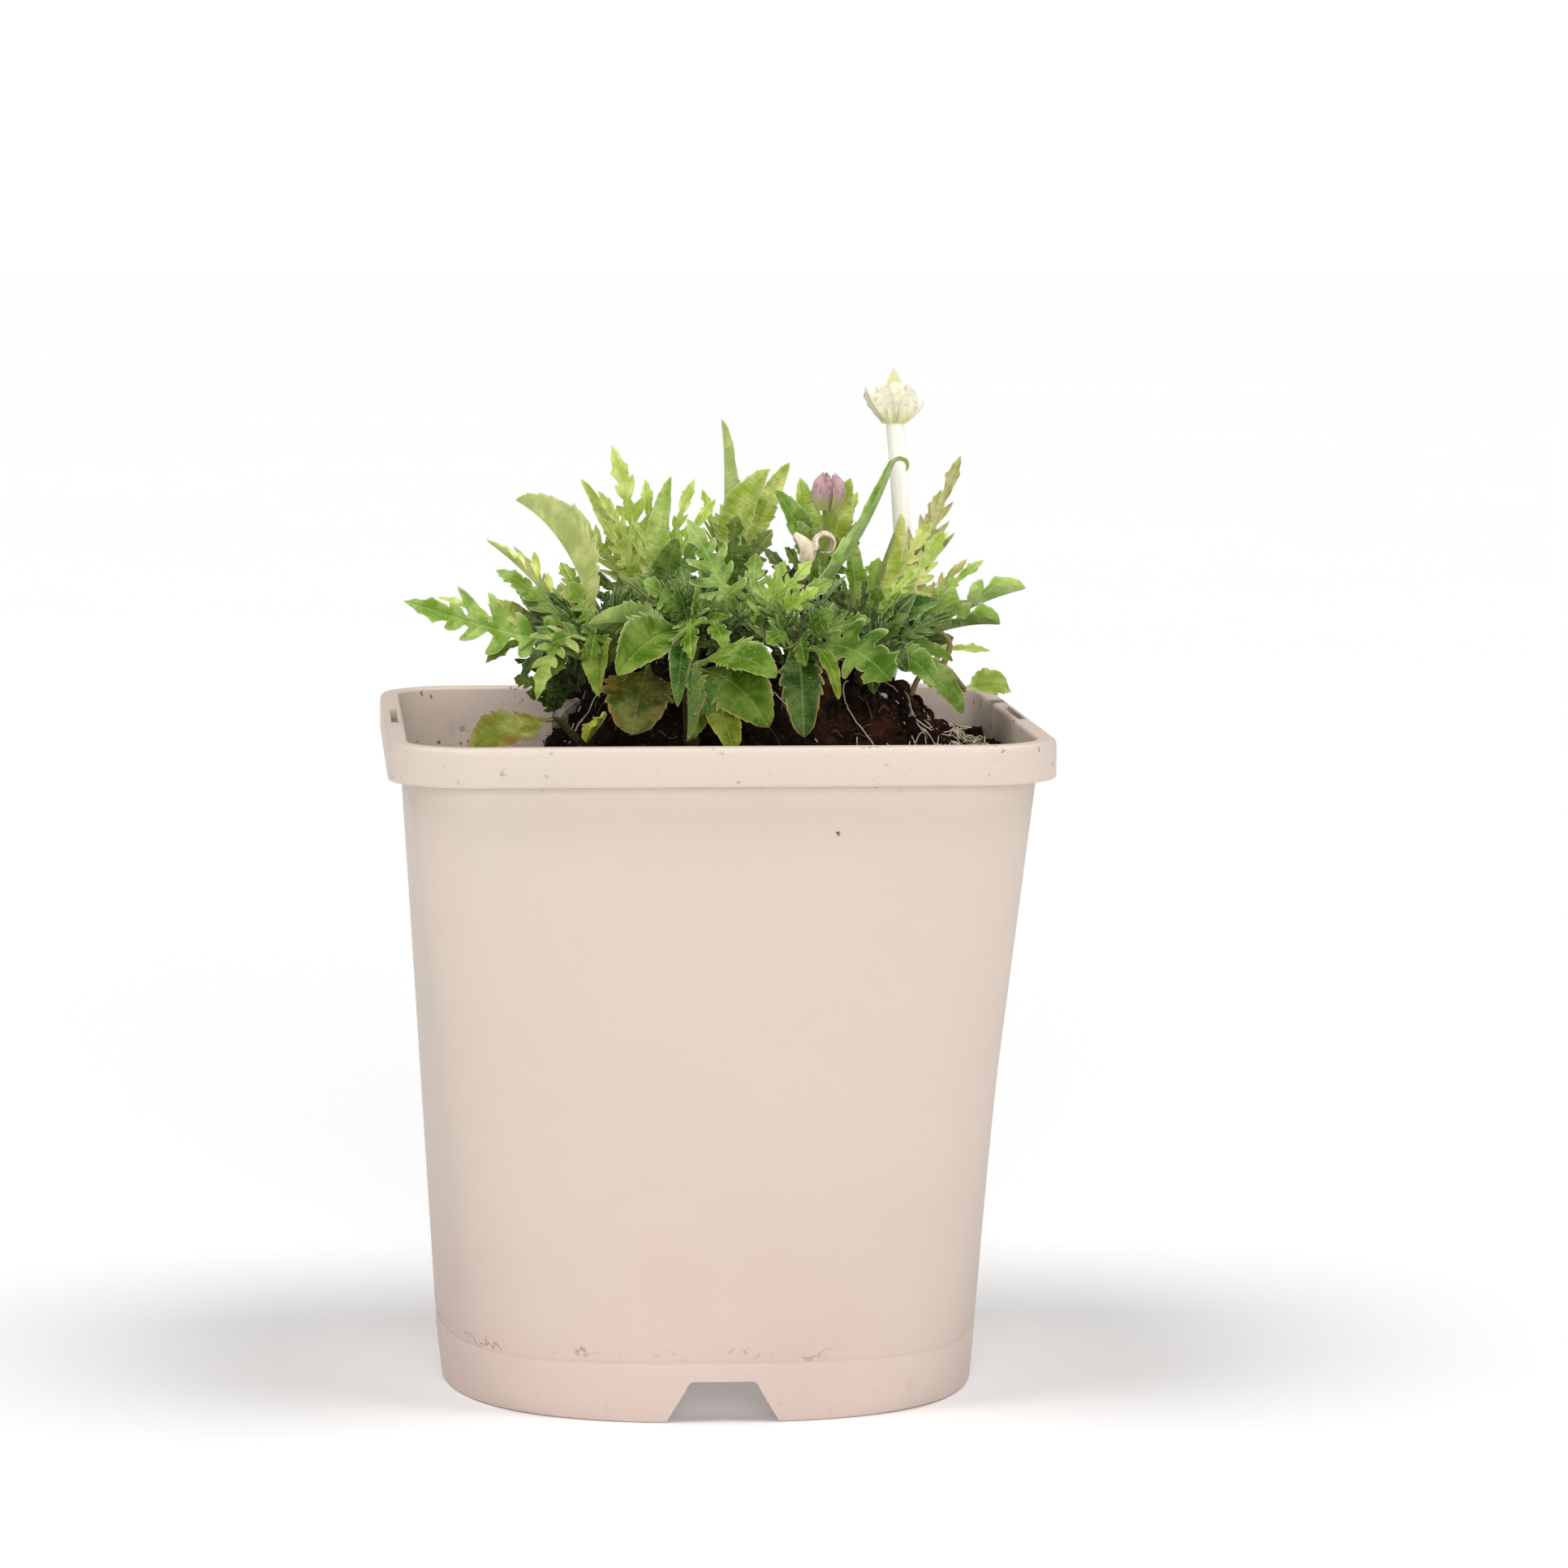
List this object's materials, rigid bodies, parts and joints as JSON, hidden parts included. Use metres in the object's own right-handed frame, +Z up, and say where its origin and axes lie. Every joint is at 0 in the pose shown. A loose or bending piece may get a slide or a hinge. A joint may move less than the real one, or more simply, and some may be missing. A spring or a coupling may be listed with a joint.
{
  "type": "potted pincushion flower",
  "caption": "Bushy pincushion flower with cut and toothed leaves, a pale bud on a thick stem and a purple bud, growing in soil in a square plastic nursery pot with a rim band.",
  "frame": {"origin": "middle of the pot's base, on the surface that the pot stands on", "axes": "+Z up along the plant, -Y towards the front of the pot, +X to the right"},
  "size_m": [0.1305, 0.13, 0.2031],
  "materials": {
    "pot_plastic": "matt moulded taupe",
    "soil": "dark crumbly potting soil",
    "leaf_green": "finely haired leaf",
    "leaf_light": "finely haired leaf",
    "leaf_dark": "satin leaf",
    "leaf_red_green": "green leaf with reddish ribs",
    "leaf_brown": "withered leaf",
    "leaf_yellow": "ageing leaf",
    "stem_pale": "downy stem",
    "bud_pale": "downy bud",
    "bud_purple": "downy bud",
    "dry_stem": "dry papery stem"
  },
  "bodies": {
    "root": {"pot": "pot_plastic", "soil": "soil", "shoot_left": "leaf_green", "shoot_left_top": "leaf_light", "shoot_front_left": "leaf_green", "shoot_centre": "leaf_green", "shoot_centre_back": "leaf_light", "shoot_bud": "leaf_green", "shoot_right_centre": "leaf_light", "shoot_right": "leaf_red_green", "shoot_low_right": "leaf_green", "shoot_front_right": "leaf_green", "shoot_front": "leaf_dark", "shoot_back_left": "leaf_green", "shoot_back": "leaf_green", "shoot_back_right": "leaf_green", "old_leaf_brown": "leaf_brown", "old_leaf_left": "leaf_yellow", "flower_stem": "stem_pale", "flower_bud": "bud_pale", "purple_bud": "bud_purple", "dry_stub": "dry_stem", "trailing_shoot": "leaf_light"}
  },
  "joints": []
}
